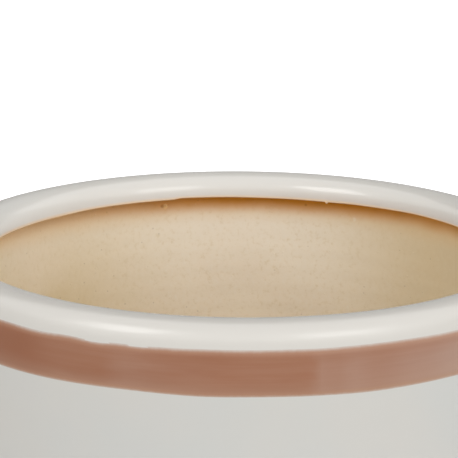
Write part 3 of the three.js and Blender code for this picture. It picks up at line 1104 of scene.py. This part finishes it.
def makeScreen():
    radius = potForm["drainRadius"] + screen["margin"]
    opening = screen["pitch"] - screen["bar"]
    middle = potForm["floorTop"] + screen["gap"] + screen["thickness"] / 2
    bpy.ops.object.select_all(action="DESELECT")
    bpy.ops.mesh.primitive_cylinder_add(
        vertices=screen["sides"], radius=radius, depth=screen["thickness"], location=(0, 0, middle))
    piece = bpy.context.object
    piece.name = "drainScreen"
    piece.data.name = "drainScreen"
    bpy.ops.object.transform_apply(location=True, rotation=True, scale=True)
    reach = int(radius / screen["pitch"])
    cutters = []
    for column in range(-reach, reach + 1):
        for row in range(-reach, reach + 1):
            x = column * screen["pitch"]
            y = row * screen["pitch"]
            corner = math.hypot(abs(x) + opening / 2, abs(y) + opening / 2)
            if corner < radius - screen["rim"]:
                bpy.ops.mesh.primitive_cube_add(size=opening, location=(x, y, middle))
                cutters.append(bpy.context.object)
    bpy.ops.object.select_all(action="DESELECT")
    for cutter in cutters:
        cutter.select_set(True)
    bpy.context.view_layer.objects.active = cutters[0]
    bpy.ops.object.join()
    cutter = bpy.context.object
    addBoolean(piece, "DIFFERENCE", cutter)
    addBevel(piece, *screen["softEdge"])
    applyAll(piece)
    bpy.data.objects.remove(cutter)
    smoothBy(piece, screen["smooth"])
    piece.data.materials.append(screenMaterial())
    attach(piece, "screen")
    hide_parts("drain_screen")
    print("drain screen", len(piece.data.polygons), "faces")


# camera, as the photograph was taken
cameraLook = {
    "place": (0.0, -0.59112, 0.31723),
    "pitch": 14.272,  # degrees below the horizon
    "yaw": -0.372,
    "roll": 0.315,
    "lens": 157.2,
    "sensor": 36.0,
    "nearest": 0.01,
}


def makeCamera():
    pitch = math.radians(cameraLook["pitch"])
    yaw = math.radians(cameraLook["yaw"])
    ahead = Vector((math.sin(yaw) * math.cos(pitch), math.cos(yaw) * math.cos(pitch), -math.sin(pitch)))
    right = ahead.cross(Vector((0, 0, 1))).normalized()
    up = right.cross(ahead)
    roll = math.radians(cameraLook["roll"])
    tiltedRight = right * math.cos(roll) + up * math.sin(roll)
    tiltedUp = up * math.cos(roll) - right * math.sin(roll)
    turned = Matrix((tiltedRight, tiltedUp, -ahead)).transposed()
    bpy.ops.object.camera_add(location=cameraLook["place"], rotation=turned.to_euler())
    camera = bpy.context.object
    camera.data.lens = cameraLook["lens"]
    camera.data.sensor_width = cameraLook["sensor"]
    camera.data.clip_start = cameraLook["nearest"]
    bpy.context.scene.camera = camera
    print("camera placed")


# light, floor and card
studio = {
    # name: the two ends of its middle line, depth, brightness of its face, for highlights or for light
    "panels": {
        "leftStrip": ((-0.446, -0.491, 1.280), (-0.716, -0.107, 1.254), 0.40, 4.0, "highlight"),
        "rightStrip": ((0.328, -0.585, 1.236), (0.704, -0.329, 1.164), 0.36, 2.6, "highlight"),
        "overhead": ((-2.2, 0.1, 1.9), (2.2, 0.1, 1.9), 3.6, 1.0, "highlight"),
        "backFill": ((-0.4, 0.75, 0.06), (0.4, 0.75, 0.06), 0.2, 2.4, "light"),
    },
    "panelAim": (0, 0, 0.15),
    # wide soft lights: degrees to the right of the camera's side, degrees up, strength
    "glows": [(6, 24, 1.51), (-68, 15, 1.33), (72, 15, 1.58), (0, -90, 0.9)],
    "glowSpread": 3.0,  # higher is narrower
    "fill": 0.05,
    "white": (1, 1, 1, 1),
    "floor": srgb(186, 186, 184),
    "floorSize": 12.0,
    "floorGlow": (0.35, 0.9, 0.55, 1.0),  # distances, and how far each lifts the floor to white
    "mirrored": 0.45,  # share of that lift that glossy sides mirror, so that their outline stands out
    "gapRadius": 0.058,  # under the foot the floor lets soft light through, for the underside
    "card": srgb(178, 178, 178),  # grey card behind the pot, for the lip to mirror
    "cardTop": srgb(148, 148, 148),
    "cardPlace": (0, 1.0, 0.715),
    "cardSize": (1.6, 1.43),
    "cardCuts": 3,
    "cardPeak": 0.46,  # how far the middle of its top edge stands up
    "cardFade": (0.6, 1.3),  # heights between which it darkens
    "cardRoughness": 1.0,
}


def makeLights():
    for name, (start, end, depth, brightness, use) in studio["panels"].items():
        middle = (Vector(start) + Vector(end)) / 2
        length = (Vector(end) - Vector(start)).length
        back = (middle - Vector(studio["panelAim"])).normalized()
        along = Vector(end) - Vector(start)
        along = (along - back * along.dot(back)).normalized()
        turned = Matrix((along, back.cross(along), back)).transposed()
        bpy.ops.object.light_add(type="AREA", location=middle, rotation=turned.to_euler())
        panel = bpy.context.object
        panel.name = name
        panel.data.shape = "RECTANGLE"
        panel.data.size = length
        panel.data.size_y = depth
        panel.data.energy = brightness * math.pi * length * depth
        panel.visible_camera = False
        panel.visible_diffuse = use == "light"
        panel.visible_glossy = use == "highlight"
    print("lights placed", len(studio["panels"]))


def mirroredRay(tree, path):  # 1 for rays that mirror or pass through
    return larger(tree, path.outputs["Is Glossy Ray"], path.outputs["Is Transmission Ray"])


def seenDirectly(tree, path):  # 1 for those and for the camera's own
    return larger(tree, path.outputs["Is Camera Ray"], mirroredRay(tree, path))


def mixShaders(tree, share, first, second):
    node = addNode(tree, "ShaderNodeMixShader")
    for socket, output in zip(node.inputs, (share, first, second)):
        tree.links.new(output, socket)
    return node.outputs["Shader"]


def makeWorld():  # wide soft lights round the front, seen by the object as plain white
    world = bpy.data.worlds.new("studio")
    bpy.context.scene.world = world
    world.use_nodes = True
    tree = world.node_tree
    place = addNode(tree, "ShaderNodeTexCoord")
    strength = studio["fill"]
    for turn, height, bright in studio["glows"]:
        turn = math.radians(turn)
        height = math.radians(height)
        facing = addNode(tree, "ShaderNodeVectorMath", operation="DOT_PRODUCT")
        tree.links.new(place.outputs["Generated"], facing.inputs[0])
        facing.inputs[1].default_value = (
            math.sin(turn) * math.cos(height), -math.cos(turn) * math.cos(height), math.sin(height))
        towards = larger(tree, facing.outputs["Value"], 0.0)
        glow = calc(tree, "POWER", towards, studio["glowSpread"])
        strength = calc(tree, "ADD", times(tree, glow, bright), strength)
    soft = tree.nodes["Background"]
    soft.inputs["Color"].default_value = studio["white"]
    tree.links.new(strength, soft.inputs["Strength"])
    white = addNode(tree, "ShaderNodeBackground", Color=studio["white"], Strength=1.0)
    seen = seenDirectly(tree, addNode(tree, "ShaderNodeLightPath"))
    mixed = mixShaders(tree, seen, soft.outputs["Background"], white.outputs["Background"])
    tree.links.new(mixed, tree.nodes["World Output"].inputs["Surface"])
    print("world set")


def makeFloor():
    bpy.ops.object.select_all(action="DESELECT")
    bpy.ops.mesh.primitive_plane_add(size=studio["floorSize"])
    floor = bpy.context.object
    floor.name = "studioFloor"
    material, tree, shader = newMaterial("studioFloor")
    tree.nodes.remove(shader)
    paper = addNode(tree, "ShaderNodeBsdfDiffuse", Color=studio["floor"])
    place = addNode(tree, "ShaderNodeTexCoord")
    away = addNode(tree, "ShaderNodeVectorMath", operation="LENGTH")
    tree.links.new(place.outputs["Object"], away.inputs[0])
    path = addNode(tree, "ShaderNodeLightPath")
    mirrored = times(tree, mirroredRay(tree, path), studio["mirrored"])
    lift = larger(tree, path.outputs["Is Camera Ray"], mirrored)
    lit = addNode(tree, "ShaderNodeEmission")
    glow = fade(tree, away.outputs["Value"], *studio["floorGlow"])
    tree.links.new(times(tree, glow, lift), lit.inputs["Strength"])
    both = addNode(tree, "ShaderNodeAddShader")
    tree.links.new(paper.outputs["BSDF"], both.inputs[0])
    tree.links.new(lit.outputs["Emission"], both.inputs[1])
    facing = addNode(tree, "ShaderNodeNewGeometry")
    clear = addNode(tree, "ShaderNodeBsdfTransparent")
    underPot = calc(tree, "LESS_THAN", away.outputs["Value"], studio["gapRadius"])
    gap = times(tree, underPot, calc(tree, "SUBTRACT", 1.0, seenDirectly(tree, path)))
    letsThrough = larger(tree, facing.outputs["Backfacing"], gap)  # clear from below, for the underside
    mixed = mixShaders(tree, letsThrough, both.outputs["Shader"], clear.outputs["BSDF"])
    tree.links.new(mixed, tree.nodes["Material Output"].inputs["Surface"])
    floor.data.materials.append(material)
    print("floor laid")


def makeCard():
    top = studio["cardPlace"][2] + studio["cardSize"][1] / 2

    def isPeak(vertex):
        return abs(vertex.co.x) < modelling["touch"] and vertex.co.z > top - modelling["touch"]

    bpy.ops.object.select_all(action="DESELECT")
    bpy.ops.mesh.primitive_plane_add(size=1, location=studio["cardPlace"], rotation=(math.pi / 2, 0, 0))
    card = bpy.context.object
    card.name = "greyCard"
    card.scale = (*studio["cardSize"], 1)
    bpy.ops.object.transform_apply(location=True, rotation=True, scale=True)
    bpy.ops.object.mode_set(mode="EDIT")
    bpy.ops.mesh.subdivide(number_cuts=studio["cardCuts"])
    pickParts(card, "VERT", isPeak)
    bpy.ops.transform.translate(value=(0, 0, studio["cardPeak"]))
    bpy.ops.object.mode_set(mode="OBJECT")
    material, tree, shader = newMaterial("greyCard")
    darker = fade(tree, splitPlace(tree)["Z"], *studio["cardFade"])
    colour = layered(tree, studio, "card", [(darker, "cardTop")])
    tree.links.new(colour, shader.inputs["Base Color"])
    shader.inputs["Roughness"].default_value = studio["cardRoughness"]
    card.data.materials.append(material)
    card.visible_camera = False
    print("grey card placed")


makeCamera()
makeClay()
makeGlaze()
makeBand()
makePlug()
makePads()
makeScreen()
makeLights()
makeWorld()
makeFloor()
makeCard()
bpy.context.scene.view_settings.view_transform = "Standard"
